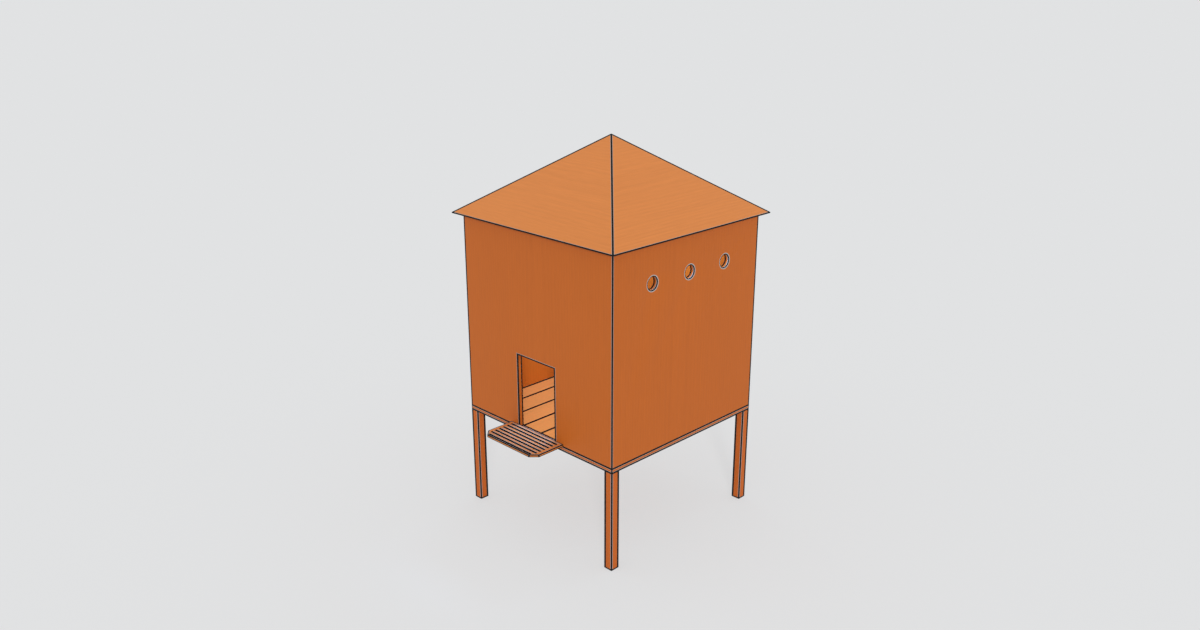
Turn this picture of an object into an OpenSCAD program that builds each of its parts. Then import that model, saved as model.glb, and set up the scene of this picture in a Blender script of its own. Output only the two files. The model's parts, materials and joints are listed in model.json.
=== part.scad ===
// Pigeon coop: a square boarded box on four legs, under a pyramid roof.
// The doorway faces -Y and has a landing board in front of it; +Z is up.
// The origin is on the ground, midway under everything the coop spans.

/* [Box] */
// Outside width of the square box
box_w = 800; // [600:10:1400]
// Height of the walls, from the floor up to the eaves
wall_h = 800; // [500:10:1400]
// Thickness of the wall panels
wall_t = 20; // [12:1:36]

/* [Floor] */
// Thickness of the floor boards and of the rim round them
floor_t = 20; // [12:1:40]
// Width of the rim strips that close the edge of the floor
rim_w = 20; // [12:1:40]
// Number of floor boards side by side
board_count = 8; // [5:1:12]
// Gap left between two floor boards
board_gap = 2; // [0.5:0.5:6]

/* [Floor battens] */
// Width of the battens under the floor
floor_batten_w = 44; // [24:1:70]
// Height of the battens under the floor
floor_batten_h = 28; // [15:1:60]
// Distance from the side walls to the ends of the floor battens
floor_batten_end = 70; // [50:5:120]
// Distance from the outer floor battens to the front and back edges
floor_batten_row = 110; // [80:5:200]

/* [Legs] */
// Height of the legs, from the ground to the underside of the floor
leg_h = 400; // [100:10:900]
// Width of the square legs
leg_w = 38; // [24:1:45]

/* [Doorway] */
// Width of the doorway
door_w = 200; // [120:5:400]
// Height of the doorway above the floor
door_h = 300; // [150:5:400]

/* [Vents] */
// Number of vent holes in each side wall
vent_count = 3; // [1:1:3]
// Diameter of the vent holes
vent_d = 50; // [20:1:80]
// Spacing of the vent holes
vent_pitch = 200; // [90:5:220]
// Distance from the top of the wall down to the vent holes' centres
vent_down = 150; // [110:5:400]

/* [Roof] */
// Slope of the four roof panels, in degrees
roof_pitch = 34.8; // [20:0.1:50]
// Thickness of the roof panels
roof_t = 21; // [12:1:36]
// Height of the upright edge along the eaves
eave_edge = 4; // [2:0.5:10]
// Extra reach of the eaves, past the level cut that meets the walls
eave_reach = 0; // [0:1:80]

/* [Inner frame] */
// Width of the square battens in the corners of the box
corner_batten_w = 30; // [20:1:60]
// Width of the plates along the tops of the walls
plate_w = 30; // [20:1:60]
// Height of the plates along the tops of the walls
plate_h = 40; // [20:1:80]
// Width of the rafters under the hips
rafter_w = 28; // [16:1:50]
// Depth of the rafters, square to their slope
rafter_h = 45; // [25:1:70]
// Width of the square block that the rafters meet at
apex_block_w = 60; // [40:1:100]
// How far the block reaches below the rafters
apex_block_tail = 25; // [5:1:80]

/* [Landing board] */
// Width of the landing board, along the wall
landing_w = 292; // [160:2:500]
// Depth of the landing board, out from the wall
landing_d = 147; // [100:1:250]
// Thickness of the landing board
landing_t = 10; // [8:1:30]
// Size of the cut across each outer corner of the landing board
landing_corner = 27; // [5:1:40]
// Number of grooves that give the birds a grip
groove_count = 7; // [2:1:9]
// Distance from the wall to the middle of the first groove
groove_first = 17; // [8:1:30]
// Distance from the middle of the last groove to the front edge
groove_last = 10; // [6:1:30]
// Width of the grooves
groove_w = 4; // [2:0.5:6]
// Depth of the grooves
groove_depth = 3; // [1:0.5:6]
// Wood left between a groove's end and the side of the board
groove_margin = 16; // [6:1:30]
// Wood left between a groove's end and the cut corner, measured along the groove
groove_corner_margin = 7; // [3:1:20]
// Distance from the ends of the landing board to the ends of the ledger that carries it
ledger_inset = 46; // [10:1:60]
// Thickness of the ledger, out from the floor rim
ledger_t = 20; // [12:1:40]
// Height of the ledger
ledger_h = 20; // [12:1:40]

/* [Hidden] */
sides = ["front", "right", "back", "left"];
corners = ["front_right", "back_right", "back_left", "front_left"];
batten_rows = ["front", "middle", "back"];

wall_colour = "#BC6530";
roof_colour = "#D6884F";
floor_colour = "#D4844D";
frame_colour = "#B5602C";
leg_colour = "#B8612C";

// Levels and half widths, measured from the middle of the box
half = box_w / 2;
inside = half - wall_t;
floor_top = leg_h + floor_t;
wall_top = floor_top + wall_h;
board_pitch = box_w / board_count;
groove_pitch = (landing_d - groove_first - groove_last) / (groove_count - 1);

// The roof panels' undersides pass through the outer top edges of the walls
rise = tan(roof_pitch);
soffit_in = half + eave_reach;
eave_out = soffit_in + roof_t / sin(roof_pitch) - eave_edge / rise;
eave_z = wall_top - eave_reach * rise;
roof_apex = eave_z + eave_edge + eave_out * rise;
under_apex = roof_apex - roof_t / cos(roof_pitch);

// The hips climb more gently than the panels, by the root of two
hip_rise = rise / sqrt(2);
rafter_drop = rafter_h / cos(atan(hip_rise));
plate_in = inside - plate_w;
plate_top = roof_under(plate_in) - rafter_drop;
plate_bottom = plate_top - plate_h;

// Everything moves back, so that the origin is midway between eave and landing board
stand_y = (half + landing_d - eave_out) / 2;

// Cutters reach this far past the faces that they cut
over = 10;
round_steps = 64;

// Height of the roof's underside at a distance out from the middle
function roof_under(out) = wall_top + (half - out) * rise;

// How far a groove runs to each side of the middle, for its distance from the wall
function groove_reach(from_wall) = min(
    landing_w / 2 - groove_margin,
    landing_w / 2 + landing_d - landing_corner - from_wall - groove_w / 2 - groove_corner_margin
);

// Turns a piece made at the front, or the front right corner, to one of the four sides
module placed(turn = 0) {
    translate([0, stand_y, 0])
        rotate([0, 0, 90 * turn])
            children();
}

// Runs an outline of [distance out, height] along the front, mitred at both corners
module mitred(outline) {
    intersection() {
        rotate([90, 0, -90])
            linear_extrude(height = 2 * eave_out + 2 * over, center = true)
                polygon(outline);
        linear_extrude(height = roof_apex + over)
            polygon([[0, 0], [-eave_out - over, -eave_out - over], [eave_out + over, -eave_out - over]]);
    }
}

// Half of the space inside, the full length of one direction
module room_one_way() {
    rotate([90, 0, 0])
        linear_extrude(height = 2 * inside, center = true)
            polygon([
                [-inside, 0],
                [inside, 0],
                [inside, roof_under(inside)],
                [0, under_apex],
                [-inside, roof_under(inside)]
            ]);
}

// The space between the inner faces of the walls and under the roof panels
module room() {
    intersection() {
        room_one_way();
        rotate([0, 0, 90])
            room_one_way();
    }
}

module leg(turn) {
    color(leg_colour)
        placed(turn)
            translate([half - leg_w, -half, 0])
                cube([leg_w, leg_w, leg_h]);
}

module floor_rim(turn) {
    color(wall_colour)
        placed(turn)
            mitred([
                [half - rim_w, leg_h],
                [half, leg_h],
                [half, floor_top],
                [half - rim_w, floor_top]
            ]);
}

module floor_board(number) {
    left = max(rim_w, (number - 1) * board_pitch + board_gap / 2);
    right = min(box_w - rim_w, number * board_pitch - board_gap / 2);
    color(floor_colour)
        placed()
            translate([left - half, rim_w - half, leg_h])
                cube([right - left, box_w - 2 * rim_w, floor_t]);
}

module floor_batten(row) {
    color(frame_colour)
        placed()
            translate([
                floor_batten_end - half,
                (row - 1) * (half - floor_batten_row) - floor_batten_w / 2,
                leg_h - floor_batten_h
            ])
                cube([box_w - 2 * floor_batten_end, floor_batten_w, floor_batten_h]);
}

module plain_wall() {
    mitred([
        [inside, floor_top],
        [half, floor_top],
        [half, wall_top],
        [inside, roof_under(inside)]
    ]);
}

module door_wall() {
    difference() {
        plain_wall();
        translate([-door_w / 2, -half - over, floor_top - over])
            cube([door_w, wall_t + 2 * over, door_h + over]);
    }
}

module vent_wall() {
    difference() {
        plain_wall();
        for (i = [0:vent_count - 1])
            translate([(i - (vent_count - 1) / 2) * vent_pitch, -inside + over, wall_top - vent_down])
                rotate([90, 0, 0])
                    cylinder(d = vent_d, h = wall_t + 2 * over, $fn = round_steps);
    }
}

module wall(turn) {
    color(wall_colour)
        placed(turn) {
            if (sides[turn] == "front") door_wall();
            if (sides[turn] == "back") plain_wall();
            if (sides[turn] == "left" || sides[turn] == "right") vent_wall();
        }
}

module corner_batten(turn) {
    color(frame_colour)
        placed(turn)
            translate([inside - corner_batten_w, -inside, floor_top])
                cube([corner_batten_w, corner_batten_w, plate_bottom - floor_top]);
}

module wall_plate(turn) {
    color(frame_colour)
        placed(turn)
            mitred([
                [plate_in, plate_bottom],
                [inside, plate_bottom],
                [inside, plate_top],
                [plate_in, plate_top]
            ]);
}

// The seat at the foot is level, and lies on the mitred corner of the wall plates
module hip_rafter(turn) {
    seat = plate_in * sqrt(2);
    head = apex_block_w / 2;
    foot = half * sqrt(2);
    color(frame_colour)
        placed(turn)
            intersection() {
                room();
                rotate([90, 0, -45])
                    linear_extrude(height = rafter_w, center = true)
                        polygon([
                            [head, plate_top + (seat - head) * hip_rise],
                            [seat, plate_top],
                            [foot, plate_top],
                            [foot, roof_apex],
                            [head, roof_apex]
                        ]);
            }
}

module apex_block() {
    block_bottom = under_apex - rafter_drop - apex_block_w / 2 * hip_rise - apex_block_tail;
    color(frame_colour)
        placed()
            intersection() {
                room();
                rotate([0, 0, 45])
                    translate([-apex_block_w / 2, -apex_block_w / 2, block_bottom])
                        cube([apex_block_w, apex_block_w, roof_apex - block_bottom]);
            }
}

// The foot of each panel is cut level underneath, and upright along its thin edge
module roof_panel(turn) {
    color(roof_colour)
        placed(turn)
            mitred([
                [0, under_apex],
                [soffit_in, eave_z],
                [eave_out, eave_z],
                [eave_out, eave_z + eave_edge],
                [0, roof_apex]
            ]);
}

module landing_board() {
    color(floor_colour)
        placed()
            translate([0, -half, floor_top])
                difference() {
                    linear_extrude(height = landing_t)
                        polygon([
                            [-landing_w / 2, 0],
                            [-landing_w / 2, landing_corner - landing_d],
                            [landing_corner - landing_w / 2, -landing_d],
                            [landing_w / 2 - landing_corner, -landing_d],
                            [landing_w / 2, landing_corner - landing_d],
                            [landing_w / 2, 0]
                        ]);
                    for (i = [0:groove_count - 1])
                        groove(groove_first + i * groove_pitch);
                }
}

module groove(from_wall) {
    reach = groove_reach(from_wall);
    translate([-reach, -from_wall - groove_w / 2, landing_t - groove_depth])
        cube([2 * reach, groove_w, groove_depth + over]);
}

module landing_ledger() {
    color(frame_colour)
        placed()
            translate([ledger_inset - landing_w / 2, -half - ledger_t, floor_top - ledger_h])
                cube([landing_w - 2 * ledger_inset, ledger_t, ledger_h]);
}

for (turn = [0:3]) {
    leg(turn);
    floor_rim(turn);
    wall(turn);
    corner_batten(turn);
    wall_plate(turn);
    hip_rafter(turn);
    roof_panel(turn);
}
for (number = [1:board_count])
    floor_board(number);
for (row = [0:2])
    floor_batten(row);
apex_block();
landing_board();
landing_ledger();
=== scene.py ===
import json
import math
import random

import bmesh
import bpy
from mathutils import Matrix, Vector
from mathutils.geometry import convex_hull_2d


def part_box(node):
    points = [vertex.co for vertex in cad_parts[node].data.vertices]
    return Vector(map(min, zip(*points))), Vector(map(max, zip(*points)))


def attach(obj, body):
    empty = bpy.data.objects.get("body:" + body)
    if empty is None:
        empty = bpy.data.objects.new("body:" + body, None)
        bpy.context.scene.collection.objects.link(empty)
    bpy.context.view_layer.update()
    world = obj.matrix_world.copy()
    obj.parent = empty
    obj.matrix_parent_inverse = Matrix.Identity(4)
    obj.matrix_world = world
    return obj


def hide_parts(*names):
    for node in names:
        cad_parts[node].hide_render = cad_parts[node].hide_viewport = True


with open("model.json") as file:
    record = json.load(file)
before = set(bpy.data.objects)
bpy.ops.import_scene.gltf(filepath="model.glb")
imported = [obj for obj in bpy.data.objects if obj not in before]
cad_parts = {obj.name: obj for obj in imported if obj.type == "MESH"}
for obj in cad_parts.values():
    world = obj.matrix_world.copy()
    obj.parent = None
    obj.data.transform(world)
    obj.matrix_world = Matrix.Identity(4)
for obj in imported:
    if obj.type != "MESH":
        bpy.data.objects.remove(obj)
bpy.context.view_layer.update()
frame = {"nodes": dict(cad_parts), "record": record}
scene = bpy.context.scene
xAxis, yAxis, up = Vector((1, 0, 0)), Vector((0, 1, 0)), Vector((0, 0, 1))
sideNames = ["front", "right", "back", "left"]
cornerNames = ["front_right", "back_right", "back_left", "front_left"]
openings = {o["name"]: o["box_m"] for o in frame["record"]["physics"]["openings"]}


def toLinear(colour):
    return [c / 12.92 if c <= 0.04045 else ((c + 0.055) / 1.055) ** 2.4 for c in colour]


def middle(corners):
    return (Vector(corners[0]) + Vector(corners[1])) / 2


def turned(quarters):
    return Matrix.Rotation(math.radians(90 * quarters), 3, "Z")


boxMiddle = middle((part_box("left_wall")[0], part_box("right_wall")[1]))  # middle of the square box
groundMiddle = Vector((boxMiddle.x, boxMiddle.y, 0))


# camera
cameraView = {
    "azimuth": 45.0,  # degrees round from the doorway side, towards the vents
    "elevation": 19.15,
    "distance": 4.1004,
    "lens": 31.078,
    "aimUp": 0.8066,
    "aimRight": -0.0423,
}


def directionTo(azimuth, elevation):
    a, e = math.radians(azimuth), math.radians(elevation)
    return Vector((math.sin(a) * math.cos(e), -math.cos(a) * math.cos(e), math.sin(e)))


def placeCamera(view):
    back = directionTo(view["azimuth"], view["elevation"])
    right = up.cross(back).normalized()
    aim = groundMiddle + up * view["aimUp"] + right * view["aimRight"]
    camera = bpy.data.objects.new("camera", bpy.data.cameras.new("camera"))
    scene.collection.objects.link(camera)
    camera.data.lens = view["lens"]
    camera.location = aim + back * view["distance"]
    camera.rotation_euler = back.to_track_quat("Z", "Y").to_euler()
    scene.camera = camera


placeCamera(cameraView)
print("camera placed")


# materials
def newMaterial(name):
    material = bpy.data.materials.new(name)
    material.use_nodes = True
    tree = material.node_tree
    return material, tree, tree.nodes["Principled BSDF"]


def addNode(tree, kind, values=None, **settings):
    node = tree.nodes.new(kind)
    for key, value in settings.items():
        setattr(node, key, value)
    for key, value in (values or {}).items():
        node.inputs[key].default_value = value
    return node


def mathNode(tree, operation, first, second):
    node = addNode(tree, "ShaderNodeMath", operation=operation)
    for socket, value in zip(node.inputs, (first, second)):
        if isinstance(value, (int, float)):
            socket.default_value = value
        else:
            tree.links.new(value, socket)
    return node.outputs[0]


def grainVector(tree, stretch, shift=(0, 0, 0)):
    # the grain attribute runs along each piece, so every piece has its own wood
    source = addNode(tree, "ShaderNodeAttribute", attribute_name="grain")
    mapping = addNode(tree, "ShaderNodeMapping", {"Scale": stretch, "Location": shift})
    tree.links.new(source.outputs["Vector"], mapping.inputs["Vector"])
    return mapping.outputs["Vector"]


def noiseOn(tree, vector, detail=3.0, roughness=0.55):
    node = addNode(tree, "ShaderNodeTexNoise", {"Scale": 1.0, "Detail": detail, "Roughness": roughness})
    tree.links.new(vector, node.inputs["Vector"])
    return node.outputs["Fac"]


def centred(tree, value, amount):
    return mathNode(tree, "MULTIPLY", mathNode(tree, "SUBTRACT", value, 0.5), amount)


def mixTones(tree, factor, darkTone, lightTone):
    mix = addNode(tree, "ShaderNodeMix", data_type="RGBA")
    mix.inputs["A"].default_value = (*darkTone, 1)
    mix.inputs["B"].default_value = (*lightTone, 1)
    tree.links.new(factor, mix.inputs["Factor"])
    return mix.outputs["Result"]


def addBump(tree, shader, height, strength, distance):
    bump = addNode(tree, "ShaderNodeBump", {"Strength": strength, "Distance": distance})
    tree.links.new(height, bump.inputs["Height"])
    tree.links.new(bump.outputs["Normal"], shader.inputs["Normal"])


woodPattern = {  # repeats in a metre: along the grain, across it and through the board
    "streaks": (2.5, 120, 120),
    "blotches": (1.6, 4.5, 4.5),
    "fibres": (16, 620, 620),
    "rings": (0.12, 1, 1),
    "worn": (30, 160, 160),
}
woodFinish = {
    "spread": 0.16,  # how far the light and dark tones lie from the slot's own colour
    "streak": 0.35,
    "rings": 0.10,
    "fibre": 0.75,
    "blotch": 0.14,
    "gloss": 0.10,
    "shine": 0.22,
    "bump": 0.25,
    "bumpDepth": 0.0004,
    "streakRelief": 0.8,  # height of the streaks beside that of the fibres
}
ringWaves = {"Scale": 26.0, "Distortion": 5.0, "Detail": 2.0, "Detail Scale": 0.6}
stainsAndTopLight = {  # the stain's colour on each slot, and how dull it is; the roof and floor colours hold the stain and a painted top light, which makes these upward faces lighter and paler than the walls
    "wall_wood": {"colour": (0.706, 0.365, 0.110), "roughness": 0.55},
    # roof and floor: stain plus painted top light, lighter and paler than the wall stain
    "roof_wood": {"colour": (0.812, 0.498, 0.252), "roughness": 0.55},
    "floor_wood": {"colour": (0.820, 0.500, 0.250), "roughness": 0.62},
    "frame_wood": {"colour": (0.690, 0.350, 0.110), "roughness": 0.65},
    "leg_wood": {"colour": (0.726, 0.360, 0.098), "roughness": 0.55},
}


def stainedWood(slotName, recipe, finish):
    material, tree, shader = newMaterial(slotName)
    streaks = noiseOn(tree, grainVector(tree, woodPattern["streaks"]), 4.0, 0.6)
    blotches = noiseOn(tree, grainVector(tree, woodPattern["blotches"], (7, 3, 1)), 2.0)
    fibres = noiseOn(tree, grainVector(tree, woodPattern["fibres"], (3, 9, 2)), 2.0, 0.5)
    rings = addNode(tree, "ShaderNodeTexWave", ringWaves, wave_type="RINGS", rings_direction="X")
    tree.links.new(grainVector(tree, woodPattern["rings"]), rings.inputs["Vector"])
    total = 0.5
    for value, amount in (
        (streaks, finish["streak"]),
        (blotches, finish["blotch"]),
        (fibres, finish["fibre"]),
        (rings.outputs["Fac"], finish["rings"]),
    ):
        total = mathNode(tree, "ADD", centred(tree, value, amount), total)
    # for the roof and floor slots this colour holds a painted top light as well as the stain
    colour = toLinear(recipe["colour"])
    darkTone = [c * (1 - finish["spread"] * w) for c, w in zip(colour, (1.0, 1.15, 1.3))]
    lightTone = [c * (1 + finish["spread"] * w) for c, w in zip(colour, (1.0, 1.1, 1.2))]
    tree.links.new(mixTones(tree, total, darkTone, lightTone), shader.inputs["Base Color"])
    dullness = mathNode(tree, "ADD", centred(tree, streaks, finish["gloss"]), recipe["roughness"])
    tree.links.new(dullness, shader.inputs["Roughness"])
    shader.inputs["Specular IOR Level"].default_value = finish["shine"]
    ridges = mathNode(tree, "MULTIPLY", streaks, finish["streakRelief"])
    relief = mathNode(tree, "ADD", fibres, ridges)
    addBump(tree, shader, relief, finish["bump"], finish["bumpDepth"])
    return material


edgeStain = {
    "dark": (0.060, 0.050, 0.050),
    "light": (0.115, 0.095, 0.092),
    "roughness": 0.7,
    "shine": 0.15,
    "bump": 0.15,
    "bumpDepth": 0.0003,
}
# painted highlight: the pale lines and rings beside the dark edges
highlightPaint = {
    "dark": (0.620, 0.608, 0.600),
    "light": (0.720, 0.708, 0.700),
    "roughness": 0.6,
    "shine": 0.2,
    "bump": 0.15,
    "bumpDepth": 0.0003,
}


def edgePaint(name, recipe):
    material, tree, shader = newMaterial(name)
    worn = noiseOn(tree, grainVector(tree, woodPattern["worn"]), 3.0)
    tones = mixTones(tree, worn, toLinear(recipe["dark"]), toLinear(recipe["light"]))
    tree.links.new(tones, shader.inputs["Base Color"])
    shader.inputs["Roughness"].default_value = recipe["roughness"]
    shader.inputs["Specular IOR Level"].default_value = recipe["shine"]
    addBump(tree, shader, worn, recipe["bump"], recipe["bumpDepth"])
    return material


zinc = {
    "dark": (0.34, 0.34, 0.33),
    "light": (0.56, 0.56, 0.54),
    "spangle": 900,  # repeats in a metre
    "roughness": 0.42,
    "gloss": 0.2,
    "metal": 0.9,
}


def zincSteel(finish):
    material, tree, shader = newMaterial("zinc_steel")
    coordinates = addNode(tree, "ShaderNodeTexCoord")
    mapping = addNode(tree, "ShaderNodeMapping", {"Scale": [finish["spangle"]] * 3})
    tree.links.new(coordinates.outputs["Object"], mapping.inputs["Vector"])
    spangle = noiseOn(tree, mapping.outputs["Vector"], 2.0)
    tones = mixTones(tree, spangle, finish["dark"], finish["light"])
    dullness = mathNode(tree, "ADD", centred(tree, spangle, finish["gloss"]), finish["roughness"])
    tree.links.new(tones, shader.inputs["Base Color"])
    tree.links.new(dullness, shader.inputs["Roughness"])
    shader.inputs["Metallic"].default_value = finish["metal"]
    return material


woods = {name: stainedWood(name, recipe, woodFinish) for name, recipe in stainsAndTopLight.items()}
edgeMaterial = edgePaint("dark_edges", edgeStain)
paleMaterial = edgePaint("pale_edges", highlightPaint)
screwMaterial = zincSteel(zinc)
print("materials made")


# pieces of wood
wood, dark, pale = 0, 1, 2  # the three material slots of every wooden piece; the pale one is a painted highlight beside the dark edges
edgeFinish = {
    "wall": 0.0042,  # width of the dark finish along each edge, on both of its faces
    "rim": 0.0038,
    "board": 0.0047,
    "leg": 0.0062,
    "roof": 0.0035,
    "frame": 0.003,
    "landing": 0.0035,
}
arris = {"radius": 0.0007, "segments": 2, "angle": 25}  # rounding of every edge sharper than the angle
bandRoom = 0.9  # share of half a narrow face's width that its bands may take up
smoothAngle = 8  # degrees between faces that still shade as one
hairline = 0.0001  # a pale line too thin to see, where a face has its pale line on other edges
paleLine = {  # width of the pale line inside the dark one, a painted highlight
    "rim": 0.0010,
    "landing": 0.0015,
    "wall": hairline,
    "leg": hairline,
    "roof": hairline,
}
eaveEdge = 0.004  # height of the thin edge along the eaves
floorUnder, floorTop = [corner.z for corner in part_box("front_floor_rim")]
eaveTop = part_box("front_roof_panel")[0].z + eaveEdge
doorLow, doorHigh = [Vector(corner) for corner in openings["doorway"]]
edgeLimits = {
    "flush": 1e-4,  # how far a point may lie from the level that it belongs to
    "doorway": 0.005,  # how much smaller the opening's box may be than the doorway
    "level": 0.01,  # an edge that rises less than this is a level one
    "central": 0.001,  # and one nearer than this to its face's middle is at no corner
    "facing": 0.9,  # share of a face's normal that has to point to the front
}


def along(level):
    # picks the edges that lie in one level plane
    return lambda edge, face: all(abs(v.co.z - level) < edgeLimits["flush"] for v in edge.verts)


def isLevel(edge):
    return abs(edge.verts[0].co.z - edge.verts[1].co.z) < edgeLimits["level"]


def roundDoorway(edge, face):
    near = edgeLimits["doorway"]
    return all(doorLow.x - near < v.co.x < doorHigh.x + near for v in edge.verts)


def outsideDoorway(edge, face):
    return roundDoorway(edge, face) and face.normal.y < -edgeLimits["facing"]


def doorwayHead(edge, face):
    return outsideDoorway(edge, face) and isLevel(edge)


def insideDoorway(edge, face):
    # the doorway's edges on the cabin's side of the wall
    half = middle(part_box("front_wall")).y
    return roundDoorway(edge, face) and all(v.co.y > half for v in edge.verts)


def cornerTurn(edge, face):
    # seen from outside: above zero at front left and back right corners, below it at the other two
    if isLevel(edge):
        return 0
    step = middle([v.co for v in edge.verts]) - face.calc_center_median()
    return face.normal.x * step.y + face.normal.y * step.x


def broadCorner(edge, face):
    return cornerTurn(edge, face) > edgeLimits["central"]


def fineCorner(edge, face):
    return cornerTurn(edge, face) < -edgeLimits["central"]


# the first picker that takes an edge gives its width; where pieces lie flush they share one line
otherWidths = {
    "wall": [
        (along(floorTop), 0.0034),
        (doorwayHead, 0.0056),
        (outsideDoorway, 0.0074),
        (insideDoorway, 0.0066),
        (roundDoorway, 0.0026),
        (broadCorner, 0.0074),
        (fineCorner, 0.0044),
    ],
    "rim": [(along(floorTop), 0.0038), (along(floorUnder), 0.0068)],
    "leg": [(along(floorUnder), 0.0008), (broadCorner, 0.0092), (fineCorner, 0.0046)],
    "roof": [(along(eaveTop), 0.0020), (broadCorner, 0.0074), (fineCorner, 0.0037)],
}
otherPaleLines = {
    "wall": [(outsideDoorway, 0.0012), (roundDoorway, hairline), (fineCorner, 0.0011)],
    "leg": [(fineCorner, 0.0016)],
    "roof": [(along(eaveTop), 0.0010), (fineCorner, 0.0011)],
}


samePoint = 1e-5  # points nearer than this are one
flatAngle = 0.5  # degrees between faces that are one flat face


def joinFlatFaces(bm):
    bmesh.ops.dissolve_limit(bm, angle_limit=math.radians(flatAngle), verts=bm.verts, edges=bm.edges)
    bm.normal_update()


def mergedCopy(node):
    # a CAD node's shape, with its points merged and its flat faces whole again
    bm = bmesh.new()
    bm.from_mesh(frame["nodes"][node].data)
    bmesh.ops.remove_doubles(bm, verts=bm.verts, dist=samePoint)
    joinFlatFaces(bm)
    for face in bm.faces:
        face.material_index = wood
    return bm


def toObject(bm, name, *materials):
    mesh = bpy.data.meshes.new(name)
    bm.to_mesh(mesh)
    bm.free()
    for material in materials:
        mesh.materials.append(material)
    thing = bpy.data.objects.new(name, mesh)
    scene.collection.objects.link(thing)
    return thing


def applyModifiers(thing):
    evaluated = thing.evaluated_get(bpy.context.evaluated_depsgraph_get())
    mesh = bpy.data.meshes.new_from_object(evaluated)
    thing.modifiers.clear()
    thing.data = mesh


def bandWidth(edge, face, finish, usual, others):
    # the width that the first fitting picker gives, or else the finish's usual one
    for picks, width in others.get(finish, []):
        if picks(edge, face):
            return width
    return usual.get(finish, 0)


def bandCorner(point, before, after, widthBefore, widthAfter):
    # where the inner sides of two bands meet; before and after point into the face
    straight = 0.9995
    c = before.dot(after)
    if abs(c) > straight:
        return point + before * max(widthBefore, widthAfter)
    first = (widthBefore - widthAfter * c) / (1 - c * c)
    second = (widthAfter - widthBefore * c) / (1 - c * c)
    return point + before * first + after * second


def bandFace(bm, face, finish):
    # splits a face into its middle, a dark band along each edge, and a pale line of painted highlight
    # between them
    corners = [loop.vert for loop in face.loops]
    inward = []
    widths = []
    lines = []
    for loop in face.loops:
        run = (loop.link_loop_next.vert.co - loop.vert.co).normalized()
        inward.append(face.normal.cross(run))
        widths.append(bandWidth(loop.edge, face, finish, edgeFinish, otherWidths))
        lines.append(bandWidth(loop.edge, face, finish, paleLine, otherPaleLines))
    room = bandRoom * face.calc_area() / face.calc_perimeter()
    if edgeFinish[finish] > room:
        face.material_index = dark  # too narrow for anything else
        return
    bands = [(widths, dark)]
    if 0 < max(lines) < room - edgeFinish[finish]:
        bands.append(([width + line for width, line in zip(widths, lines)], pale))
    outer = corners
    for insets, paint in bands:
        inner = []
        for i, vertex in enumerate(corners):
            place = bandCorner(vertex.co, inward[i - 1], inward[i], insets[i - 1], insets[i])
            inner.append(bm.verts.new(place))
        for i in range(len(corners)):
            n = (i + 1) % len(corners)
            band = bm.faces.new((outer[i], outer[n], inner[n], inner[i]))
            band.material_index = paint
        outer = inner
    bm.faces.new(outer).material_index = wood
    bm.faces.remove(face)


def darkenEdges(bm, finish):
    for face in list(bm.faces):
        bandFace(bm, face, finish)
    bm.normal_update()


def roundEdges(thing, shape):
    bevel = thing.modifiers.new("bevel", "BEVEL")
    bevel.width = shape["radius"]
    bevel.segments = shape["segments"]
    bevel.limit_method = "ANGLE"
    bevel.angle_limit = math.radians(shape["angle"])
    applyModifiers(thing)


def timber(bm, name, slotName, finish):
    # a shape becomes a piece of timber: dark finish on its edges, and the edges rounded
    darkenEdges(bm, finish)
    thing = toObject(bm, name, woods[slotName], edgeMaterial, paleMaterial)
    roundEdges(thing, arris)
    return thing


logPlace = {
    "along": 4.0,  # how far a piece's middle may lie along its log, either way
    "across": 0.05,
    "pith": (0.06, 0.16),  # and how far above or below the log's heart
}


def layGrain(thing, grain, across, centre, seed):
    # stores where each point lies in the log that its piece was sawn from
    dice = random.Random(seed)
    depth = grain.cross(across).normalized()
    pith = dice.choice((-1, 1)) * dice.uniform(*logPlace["pith"])
    reach, aside = logPlace["along"], logPlace["across"]
    log = Vector((dice.uniform(-reach, reach), dice.uniform(-aside, aside), pith))
    attribute = thing.data.attributes.new("grain", "FLOAT_VECTOR", "POINT")
    for i, vertex in enumerate(thing.data.vertices):
        offset = vertex.co - centre
        place = Vector((offset.dot(grain), offset.dot(across), offset.dot(depth)))
        attribute.data[i].vector = place + log


def finishPiece(thing, node, grain, across, seed):
    layGrain(thing, grain.normalized(), across.normalized(), middle(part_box(node)), seed)
    thing.data.shade_smooth()
    thing.data.set_sharp_from_angle(angle=math.radians(smoothAngle))
    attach(thing, "root")
    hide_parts(node)


def woodPiece(node, slotName, finish, grain, across, seed):
    thing = timber(mergedCopy(node), node + "_wood", slotName, finish)
    finishPiece(thing, node, grain, across, seed)


# each kind of piece has its own ten seeds, so that no two share their grain
panelLow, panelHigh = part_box("front_roof_panel")
roofSlope = math.atan2(panelHigh.z - panelLow.z, boxMiddle.y - panelLow.y)

for side, name in enumerate(sideNames):
    run = turned(side) @ xAxis
    slope = turned(side) @ Vector((0, math.cos(roofSlope), math.sin(roofSlope)))
    woodPiece(name + "_floor_rim", "wall_wood", "rim", run, up, 10 + side)
    woodPiece(name + "_wall_plate", "frame_wood", "frame", run, up, 20 + side)
    woodPiece(name + "_roof_panel", "roof_wood", "roof", run, slope, 30 + side)
for name in ("front", "back"):
    woodPiece(name + "_wall", "wall_wood", "wall", up, xAxis, 40 + len(name))
for corner, name in enumerate(cornerNames):
    hip = (turned(corner) @ Vector((-1, 1, math.tan(roofSlope)))).normalized()
    woodPiece(name + "_leg", "leg_wood", "leg", up, xAxis, 50 + corner)
    woodPiece(name + "_corner_batten", "frame_wood", "frame", up, xAxis, 60 + corner)
    woodPiece(name + "_hip_rafter", "frame_wood", "frame", hip, hip.cross(up), 70 + corner)
boardNames = sorted(n for n in frame["nodes"] if n.startswith("floor_board_"))
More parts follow.
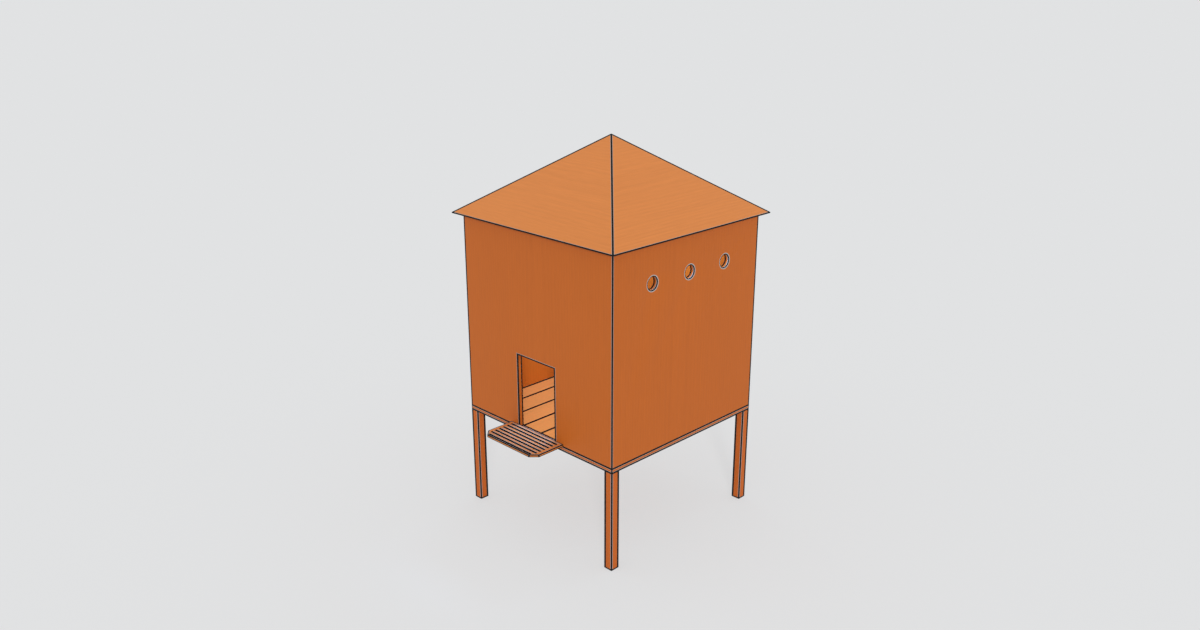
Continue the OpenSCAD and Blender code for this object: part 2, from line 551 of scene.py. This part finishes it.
for i, name in enumerate(boardNames):
    woodPiece(name, "floor_wood", "board", yAxis, xAxis, 80 + i)
battenNames = ["front_floor_batten", "middle_floor_batten", "back_floor_batten"]
for i, name in enumerate(battenNames):
    woodPiece(name, "frame_wood", "frame", xAxis, yAxis, 90 + i)
woodPiece("apex_block", "frame_wood", "frame", up, xAxis, 95)
woodPiece("landing_ledger", "frame_wood", "frame", xAxis, yAxis, 96)
print("boards, battens and panels made")


# helpers for Geometry Nodes
def newTree(name, inputs):
    # a tree with named inputs, and the identifier of each
    tree = bpy.data.node_groups.new(name, "GeometryNodeTree")
    tree.interface.new_socket("Geometry", in_out="INPUT", socket_type="NodeSocketGeometry")
    sockets = {}
    for label, kind in inputs.items():
        socketType = "NodeSocket" + kind
        sockets[label] = tree.interface.new_socket(label, in_out="INPUT", socket_type=socketType)
    tree.interface.new_socket("Geometry", in_out="OUTPUT", socket_type="NodeSocketGeometry")
    start = tree.nodes.new("NodeGroupInput")
    return tree, start.outputs, {label: socket.identifier for label, socket in sockets.items()}


def readAttribute(tree, name, kind):
    node = addNode(tree, "GeometryNodeInputNamedAttribute", {"Name": name}, data_type=kind)
    return node.outputs["Attribute"]


def endTree(tree, geometry, materials):
    # makes instances real, and gives each face the material that its finish number names
    realize = tree.nodes.new("GeometryNodeRealizeInstances")
    end = tree.nodes.new("NodeGroupOutput")
    tree.links.new(geometry, realize.inputs[0])
    painted = realize.outputs[0]
    for number, material in enumerate(materials):
        paint = tree.nodes.new("GeometryNodeSetMaterial")
        tree.links.new(painted, paint.inputs["Geometry"])
        tree.links.new(material, paint.inputs["Material"])
        if number:
            same = addNode(tree, "FunctionNodeCompare", data_type="INT", operation="EQUAL")
            a, b = [socket for socket in same.inputs if socket.enabled]
            tree.links.new(readAttribute(tree, "finish", "INT"), a)
            b.default_value = number
            tree.links.new(same.outputs[0], paint.inputs["Selection"])
        painted = paint.outputs[0]
    tree.links.new(painted, end.inputs[0])


def cutWith(tree, base, cutters):
    solid = tree.nodes.new("GeometryNodeRealizeInstances")
    cut = addNode(tree, "GeometryNodeMeshBoolean", operation="DIFFERENCE", solver="EXACT")
    tree.links.new(cutters, solid.inputs[0])
    tree.links.new(base, cut.inputs[0])
    tree.links.new(solid.outputs[0], cut.inputs[1])
    return cut.outputs[0]


def runTree(thing, tree, identifiers, values):
    modifier = thing.modifiers.new("nodes", "NODES")
    modifier.node_group = tree
    for label, value in values.items():
        modifier[identifiers[label]] = value
    applyModifiers(thing)


def markFinish(mesh, numbers):
    # the number of each face's material, which a cut carries over to the faces it makes
    attribute = mesh.attributes.new("finish", "INT", "FACE")
    attribute.data.foreach_set("value", numbers)


def pointSet(name, places, label, kind, values):
    # loose points with one named attribute, for a tree to put things on
    mesh = bpy.data.meshes.new(name)
    mesh.from_pydata([tuple(p) for p in places], [], [])
    attribute = mesh.attributes.new(label, kind, "POINT")
    for item, value in zip(attribute.data, values):
        if kind == "FLOAT":
            item.value = value
        else:
            item.vector = value
    thing = bpy.data.objects.new(name, mesh)
    scene.collection.objects.link(thing)
    return thing


# vented walls
ventCuts = {
    "count": 3,
    "radius": 0.025,
    "flare": 0.0032,  # width of the dark chamfer round each mouth
    "flareDepth": 0.0007,
    "ring": 0.0030,  # width of the pale ring round that, a painted highlight
    "ringDepth": 0.0004,
    "lip": 0.0026,  # depth of the dark finish inside the outer mouth
    "paleLip": 0.0022,  # and of the pale one behind it, a painted highlight
    "innerLip": 0.0064,  # depth of the dark finish inside the inner mouth
    "over": 0.01,  # how far the cutter reaches past the wall on either side
    "steps": 96,
}


def spool(cuts, thick, outward):
    # a cutter for one vent: the bore, a chamfer at each mouth and a shallow ring outside
    radius = cuts["radius"]
    over = cuts["over"]
    face = thick / 2
    innerMouth = -face + cuts["flareDepth"]
    ringFoot = face - cuts["ringDepth"]
    mouth = ringFoot - cuts["flareDepth"]
    chamfer = radius + cuts["flare"]
    profile = [  # radius, place along the bore, and the finish from there on
        (radius + cuts["flare"] * (1 + over / cuts["flareDepth"]), -face - over, dark),
        (radius, innerMouth, dark),
        (radius, innerMouth + cuts["innerLip"], wood),
        (radius, mouth - cuts["lip"] - cuts["paleLip"], pale),
        (radius, mouth - cuts["lip"], dark),
        (radius, mouth, dark),
        (chamfer, ringFoot, pale),
        (chamfer + cuts["ring"] * (1 + over / cuts["ringDepth"]), face + over, wood),
    ]
    bm = bmesh.new()
    rings = []
    for r, x, _ in profile:
        ring = []
        for k in range(cuts["steps"]):
            a = 2 * math.pi * (k + 0.5) / cuts["steps"]
            ring.append(bm.verts.new((outward * x, r * math.cos(a), r * math.sin(a))))
        rings.append(ring)
    for first, second, (_, _, paint) in zip(rings, rings[1:], profile):
        for k in range(cuts["steps"]):
            n = (k + 1) % cuts["steps"]
            bm.faces.new((first[k], first[n], second[n], second[k])).material_index = paint
    bm.faces.new(rings[0])
    bm.faces.new(rings[-1])
    bmesh.ops.recalc_face_normals(bm, faces=bm.faces)
    thing = toObject(bm, "vent_cutter")
    markFinish(thing.data, [f.material_index for f in thing.data.polygons])
    return thing


def ventTree():
    tree, given, ids = newTree("vent_holes", {
        "Cutter": "Object",
        "Count": "Int",
        "First": "Vector",
        "Pitch": "Vector",
        "Material": "Material",
        "Edge Material": "Material",
        "Pale Material": "Material",
    })
    line = addNode(tree, "GeometryNodeMeshLine", mode="OFFSET")
    cutter = tree.nodes.new("GeometryNodeObjectInfo")
    place = tree.nodes.new("GeometryNodeInstanceOnPoints")
    tree.links.new(given["Count"], line.inputs["Count"])
    tree.links.new(given["First"], line.inputs["Start Location"])
    tree.links.new(given["Pitch"], line.inputs["Offset"])
    tree.links.new(given["Cutter"], cutter.inputs["Object"])
    tree.links.new(line.outputs[0], place.inputs["Points"])
    tree.links.new(cutter.outputs["Geometry"], place.inputs["Instance"])
    cut = cutWith(tree, given["Geometry"], place.outputs[0])
    endTree(tree, cut, [given["Material"], given["Edge Material"], given["Pale Material"]])
    return tree, ids


def ventedWall(side, quarters, cuts, seed):
    # the back wall's plain shape turned to this side, then bored
    node = side + "_wall"
    low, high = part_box(node)
    bm = mergedCopy("back_wall")
    bmesh.ops.rotate(bm, verts=bm.verts, cent=groundMiddle, matrix=turned(quarters))
    bm.normal_update()
    thing = timber(bm, node + "_wood", "wall_wood", "wall")
    markFinish(thing.data, [f.material_index for f in thing.data.polygons])
    vents = [middle(openings[f"{side}_{where}_vent"]) for where in ("front", "middle", "back")]
    for vent in vents:
        vent.x = (low.x + high.x) / 2
    cutter = spool(cuts, high.x - low.x, math.copysign(1, low.x - boxMiddle.x))
    tree, ids = ventTree()
    runTree(thing, tree, ids, {
        "Cutter": cutter,
        "Count": cuts["count"],
        "First": vents[0],
        "Pitch": vents[1] - vents[0],
        "Material": woods["wall_wood"],
        "Edge Material": edgeMaterial,
        "Pale Material": paleMaterial,
    })
    bpy.data.objects.remove(cutter)
    finishPiece(thing, node, up, yAxis, seed)


ventedWall("left", 1, ventCuts, 42)
ventedWall("right", -1, ventCuts, 43)
print("vented walls made")


# landing board
grooveCuts = {
    "width": 0.004,
    "depth": 0.003,
    "lip": 0.0032,  # width of the dark chamfer along each side of a groove
    "lipDepth": 0.0012,
    "line": 0.0014,  # width of the pale chamfer outside that, a painted highlight
    "lineDepth": 0.0003,
    "over": 0.004,  # how far the cutter reaches above the board
    "sunk": 0.001,  # a face at least this far below the top is a groove's bottom
}


def grooveCutter(cuts):
    # one metre of groove along X, opening upwards from the board's top at z = 0
    half = cuts["width"] / 2
    lipTop = half + cuts["lip"]
    beyond = lipTop + cuts["line"] * (1 + cuts["over"] / cuts["lineDepth"])
    right = [
        (half, -cuts["depth"]),
        (half, -cuts["lineDepth"] - cuts["lipDepth"]),
        (lipTop, -cuts["lineDepth"]),
        (beyond, cuts["over"]),
    ]
    shape = right + [(-y, z) for y, z in reversed(right)]
    paints = [dark, dark, pale, wood, pale, dark, dark, dark]
    bm = bmesh.new()
    left, far = [[bm.verts.new((x, y, z)) for y, z in shape] for x in (-0.5, 0.5)]
    for k, paint in enumerate(paints):
        n = (k + 1) % len(shape)
        bm.faces.new((left[n], left[k], far[k], far[n])).material_index = paint
    for end in (left, list(reversed(far))):
        bm.faces.new(end).material_index = dark
    bmesh.ops.recalc_face_normals(bm, faces=bm.faces)
    thing = toObject(bm, "groove_cutter")
    markFinish(thing.data, [f.material_index for f in thing.data.polygons])
    return thing


def grooveTree():
    tree, given, ids = newTree("landing_grooves", {
        "Cutter": "Object",
        "Places": "Object",
        "Material": "Material",
        "Edge Material": "Material",
        "Pale Material": "Material",
    })
    places = tree.nodes.new("GeometryNodeObjectInfo")
    cutter = tree.nodes.new("GeometryNodeObjectInfo")
    place = tree.nodes.new("GeometryNodeInstanceOnPoints")
    size = addNode(tree, "ShaderNodeCombineXYZ", {"Y": 1.0, "Z": 1.0})
    tree.links.new(given["Places"], places.inputs["Object"])
    tree.links.new(given["Cutter"], cutter.inputs["Object"])
    tree.links.new(readAttribute(tree, "run", "FLOAT"), size.inputs["X"])
    tree.links.new(places.outputs["Geometry"], place.inputs["Points"])
    tree.links.new(cutter.outputs["Geometry"], place.inputs["Instance"])
    tree.links.new(size.outputs[0], place.inputs["Scale"])
    cut = cutWith(tree, given["Geometry"], place.outputs[0])
    endTree(tree, cut, [given["Material"], given["Edge Material"], given["Pale Material"]])
    return tree, ids


def grooveLines(shape, top, cuts):
    # the middle and the length of each groove that the CAD board has
    level = 0.99
    centres, runs = [], []
    for face in shape.faces:
        if face.normal.z > level and top - face.calc_center_median().z > cuts["sunk"]:
            xs = [v.co.x for v in face.verts]
            centres.append(Vector(((min(xs) + max(xs)) / 2, face.calc_center_bounds().y, top)))
            runs.append(max(xs) - min(xs))
    return centres, runs


def landingBoard(node, cuts, seed):
    # the CAD board's outline as a plain board, which the tree then grooves
    low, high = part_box(node)
    shape = mergedCopy(node)
    centres, runs = grooveLines(shape, high.z, cuts)
    points = [v.co.xy for v in shape.verts if abs(v.co.z - low.z) < samePoint]
    shape.free()
    outline = [points[i] for i in convex_hull_2d(points)]
    plain = bmesh.new()
    under, over = [[plain.verts.new((p.x, p.y, z)) for p in outline] for z in (low.z, high.z)]
    for k in range(len(outline)):
        n = (k + 1) % len(outline)
        plain.faces.new((under[k], under[n], over[n], over[k]))
    plain.faces.new(under)
    plain.faces.new(over)
    bmesh.ops.recalc_face_normals(plain, faces=plain.faces)
    joinFlatFaces(plain)
    thing = timber(plain, node + "_wood", "floor_wood", "landing")
    markFinish(thing.data, [f.material_index for f in thing.data.polygons])
    cutter = grooveCutter(cuts)
    places = pointSet("groove_places", centres, "run", "FLOAT", runs)
    tree, ids = grooveTree()
    runTree(thing, tree, ids, {
        "Cutter": cutter,
        "Places": places,
        "Material": woods["floor_wood"],
        "Edge Material": edgeMaterial,
        "Pale Material": paleMaterial,
    })
    bpy.data.objects.remove(cutter)
    bpy.data.objects.remove(places)
    finishPiece(thing, node, xAxis, yAxis, seed)


landingBoard("landing_board", grooveCuts, 97)
print("landing board made")


# screws
screwHead = {
    "radius": 0.004,
    "footRadius": 0.0028,
    "crownRadius": 0.00368,
    "proud": 0.0003,
    "recess": 0.0014,
    "wing": 0.0022,  # half the length and half the width of the cross at the top
    "wingWidth": 0.0006,
    "floorWing": 0.00099,  # and at its bottom
    "floorWidth": 0.00036,
    "seat": 0.0012,
    "steps": 24,
    "angle": 30,
    "seed": 7,
}


def screwShape(head):
    # a countersunk head on the XY plane, with a cross recess
    bm = bmesh.new()

    def ring(radius, z):
        angles = [2 * math.pi * k / head["steps"] for k in range(head["steps"])]
        return [bm.verts.new((radius * math.cos(a), radius * math.sin(a), z)) for a in angles]

    def cross(long, wide, z):
        corners = []
        for quarter in range(4):
            for x, y in ((wide, -wide), (long, -wide), (long, wide)):
                corners.append(bm.verts.new(turned(quarter) @ Vector((x, y, z))))
        return corners

    def wall(first, second):
        for k in range(len(first)):
            n = (k + 1) % len(first)
            bm.faces.new((first[k], first[n], second[n], second[k]))

    foot = ring(head["footRadius"], -head["seat"])
    edge = ring(head["radius"], 0)
    crown = ring(head["crownRadius"], head["proud"])
    mouth = cross(head["wing"], head["wingWidth"], head["proud"])
    floor = cross(head["floorWing"], head["floorWidth"], -head["recess"])
    wall(foot, edge)
    wall(edge, crown)
    rims = []
    for loop in (crown, mouth):
        for k in range(len(loop)):
            n = (k + 1) % len(loop)
            rims.append(bm.edges.get((loop[k], loop[n])) or bm.edges.new((loop[k], loop[n])))
    bmesh.ops.triangle_fill(bm, edges=rims, use_beauty=True)
    wall(floor, mouth)
    bm.faces.new(floor)
    bm.faces.new(foot)
    bmesh.ops.recalc_face_normals(bm, faces=bm.faces)
    return toObject(bm, "screw_head")


def screwTree():
    tree, given, ids = newTree("screws", {
        "Head": "Object",
        "Size": "Float",
        "Seed": "Int",
        "Material": "Material",
    })
    head = tree.nodes.new("GeometryNodeObjectInfo")
    align = addNode(tree, "FunctionNodeAlignRotationToVector", axis="Z")
    spin = addNode(tree, "FunctionNodeRandomValue", data_type="FLOAT")
    spin.inputs[3].default_value = 2 * math.pi
    twist = addNode(tree, "FunctionNodeAxisAngleToRotation", {"Axis": up})
    rotate = addNode(tree, "FunctionNodeRotateRotation", rotation_space="LOCAL")
    place = tree.nodes.new("GeometryNodeInstanceOnPoints")
    tree.links.new(given["Head"], head.inputs["Object"])
    tree.links.new(readAttribute(tree, "facing", "FLOAT_VECTOR"), align.inputs["Vector"])
    tree.links.new(given["Seed"], spin.inputs["Seed"])
    tree.links.new(spin.outputs[1], twist.inputs["Angle"])
    tree.links.new(align.outputs[0], rotate.inputs["Rotation"])
    tree.links.new(twist.outputs[0], rotate.inputs["Rotate By"])
    tree.links.new(given["Geometry"], place.inputs["Points"])
    tree.links.new(head.outputs["Geometry"], place.inputs["Instance"])
    tree.links.new(rotate.outputs[0], place.inputs["Rotation"])
    tree.links.new(given["Size"], place.inputs["Scale"])
    endTree(tree, place.outputs[0], [given["Material"]])
    return tree, ids


battenRow = {
    "crossed": 0.6,  # a board covered by more than this share of its width takes two screws
    "two": (0.25, 0.75),  # shares of the covered width
    "one": (0.5,),
}
ledgerRow = {"shares": (0.12, 0.5, 0.88), "aside": 0.014}
cornerRow = {
    "count": 4,
    "first": 0.06,  # share of the batten's height below the lowest screw
    "pitch": 0.27,  # and between one screw and the next
    "stagger": 0.03,  # metres between the screws into one wall and those into the other
}
plateRow = {"count": 4, "pitch": 0.18, "below": 0.008}


def battenScrews(row):
    # up through each floor batten: two screws into a board that it crosses, one into an outer board
    spots = []
    for batten in battenNames:
        low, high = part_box(batten)
        for board in boardNames:
            start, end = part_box(board)
            left, right = max(start.x, low.x), min(end.x, high.x)
            crossed = right - left > row["crossed"] * (end.x - start.x)
            for share in row["two"] if crossed else row["one"]:
                x = left + share * (right - left)
                spots.append((Vector((x, (low.y + high.y) / 2, low.z)), -up))
    return spots


def ledgerScrews(row):
    # up into the landing board, and back into the front rim
    low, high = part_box("landing_ledger")
    spots = []
    for share in row["shares"]:
        x = low.x + share * (high.x - low.x)
        spots.append((Vector((x, (low.y + high.y) / 2, low.z)), -up))
        spots.append((Vector((x + row["aside"], low.y, (low.z + high.z) / 2)), -yAxis))
    return spots


def cornerScrews(row):
    # from inside, through each corner batten into both of its walls
    spots = []
    for name in cornerNames:
        low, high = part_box(name + "_corner_batten")
        centre = (low + high) / 2
        half = (high.x - low.x) / 2
        toX = Vector((-1 if centre.x > boxMiddle.x else 1, 0, 0))
        toY = Vector((0, -1 if centre.y > boxMiddle.y else 1, 0))
        for k in range(row["count"]):
            z = low.z + (row["first"] + row["pitch"] * k) * (high.z - low.z)
            for facing, lift in ((toX, 0), (toY, row["stagger"])):
                spots.append((Vector((centre.x, centre.y, z + lift)) + facing * half, facing))
    return spots


def plateScrews(row):
    # from inside, through each wall plate into its wall
    spots = []
    for side, name in enumerate(sideNames):
        low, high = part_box(name + "_wall_plate")
        facing = turned(side) @ yAxis
        run = turned(side) @ xAxis
        thick = min(high.x - low.x, high.y - low.y)
        for k in range(row["count"]):
            place = run * (k - (row["count"] - 1) / 2) * row["pitch"] - up * row["below"]
            spots.append(((low + high) / 2 + facing * thick / 2 + place, facing))
    return spots


def putScrews(name, spots, head, shape):
    thing = pointSet(name, [p for p, _ in spots], "facing", "FLOAT_VECTOR", [f for _, f in spots])
    tree, ids = screwTree()
    runTree(thing, tree, ids, {
        "Head": shape,
        "Size": 1.0,
        "Seed": head["seed"],
        "Material": screwMaterial,
    })
    thing.data.shade_smooth()
    thing.data.set_sharp_from_angle(angle=math.radians(head["angle"]))
    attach(thing, "root")


headShape = screwShape(screwHead)
innerSpots = cornerScrews(cornerRow) + plateScrews(plateRow)
putScrews("floor_batten_screws", battenScrews(battenRow), screwHead, headShape)
putScrews("ledger_screws", ledgerScrews(ledgerRow), screwHead, headShape)
putScrews("inner_frame_screws", innerSpots, screwHead, headShape)
bpy.data.objects.remove(headShape)
print("screws made")


# floor and light
studio = {
    "pale": (0.8784, 0.8824, 0.8863),
    "floorHalf": 60.0,
    "floorGain": 1.12,
    "floorShown": 0.72,  # share of the floor that shows its plain pale colour to the camera
    "ambient": 0.79,
    "key": 1.40,
    "keyAzimuth": 48.0,
    "keyElevation": 18.0,
    "keyAngle": 8.0,
    "keyDistance": 6.0,
    "inside": 11.5,
    "insideTint": (0.47, 0.76, 1.18),
    "insideSize": 0.45,
}


def shownRays(tree):
    # one for the rays that see the studio directly, in a reflection or through glass
    rays = tree.nodes.new("ShaderNodeLightPath")
    seen = mathNode(tree, "MAXIMUM", rays.outputs["Is Camera Ray"], rays.outputs["Is Glossy Ray"])
    return mathNode(tree, "MAXIMUM", seen, rays.outputs["Is Transmission Ray"])


def paleFloor(settings):
    bpy.ops.mesh.primitive_plane_add(size=2 * settings["floorHalf"])
    floor = bpy.context.object
    floor.name = "floor"
    material, tree, shader = newMaterial("pale_floor")
    colour = toLinear(settings["pale"])
    lifted = [min(1, c * settings["floorGain"]) for c in colour]
    shader.inputs["Base Color"].default_value = (*lifted, 1)
    shader.inputs["Roughness"].default_value = 1.0
    shader.inputs["Specular IOR Level"].default_value = 0.0
    plain = addNode(tree, "ShaderNodeEmission", {"Color": (*colour, 1), "Strength": 1.0})
    mix = tree.nodes.new("ShaderNodeMixShader")
    share = mathNode(tree, "MULTIPLY", shownRays(tree), settings["floorShown"])
    tree.links.new(share, mix.inputs[0])
    tree.links.new(shader.outputs[0], mix.inputs[1])
    tree.links.new(plain.outputs[0], mix.inputs[2])
    tree.links.new(mix.outputs[0], tree.nodes["Material Output"].inputs["Surface"])
    floor.data.materials.append(material)


def softWorld(settings):
    world = bpy.data.worlds.new("studio")
    scene.world = world
    world.use_nodes = True
    tree = world.node_tree
    tree.nodes.clear()
    plain = (*toLinear(settings["pale"]), 1)
    lit = addNode(tree, "ShaderNodeBackground", {"Color": (1, 1, 1, 1), "Strength": settings["ambient"]})
    shown = addNode(tree, "ShaderNodeBackground", {"Color": plain, "Strength": 1.0})
    mix = tree.nodes.new("ShaderNodeMixShader")
    out = tree.nodes.new("ShaderNodeOutputWorld")
    tree.links.new(shownRays(tree), mix.inputs[0])
    tree.links.new(lit.outputs[0], mix.inputs[1])
    tree.links.new(shown.outputs[0], mix.inputs[2])
    tree.links.new(mix.outputs[0], out.inputs["Surface"])


def addLamp(name, kind, energy, location, towards):
    lamp = bpy.data.lights.new(name, kind)
    lamp.energy = energy
    light = bpy.data.objects.new(name, lamp)
    scene.collection.objects.link(light)
    light.location = location
    light.rotation_euler = towards.to_track_quat("Z", "Y").to_euler()
    return light


def studioLamps(settings):
    towards = directionTo(settings["keyAzimuth"], settings["keyElevation"])
    place = groundMiddle + towards * settings["keyDistance"]
    key = addLamp("key", "SUN", settings["key"], place, towards)
    key.data.angle = math.radians(settings["keyAngle"])
    # a soft lamp under the roof, so that the floor and walls inside can be seen
    high = Vector((boxMiddle.x, boxMiddle.y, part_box("front_wall")[1].z))
    inside = addLamp("inside", "AREA", settings["inside"], high, up)
    inside.data.size = settings["insideSize"]
    inside.data.color = settings["insideTint"]
    inside.visible_camera = False
    inside.visible_glossy = False


paleFloor(studio)
softWorld(studio)
studioLamps(studio)
scene.view_settings.view_transform = "Standard"
print("studio made")
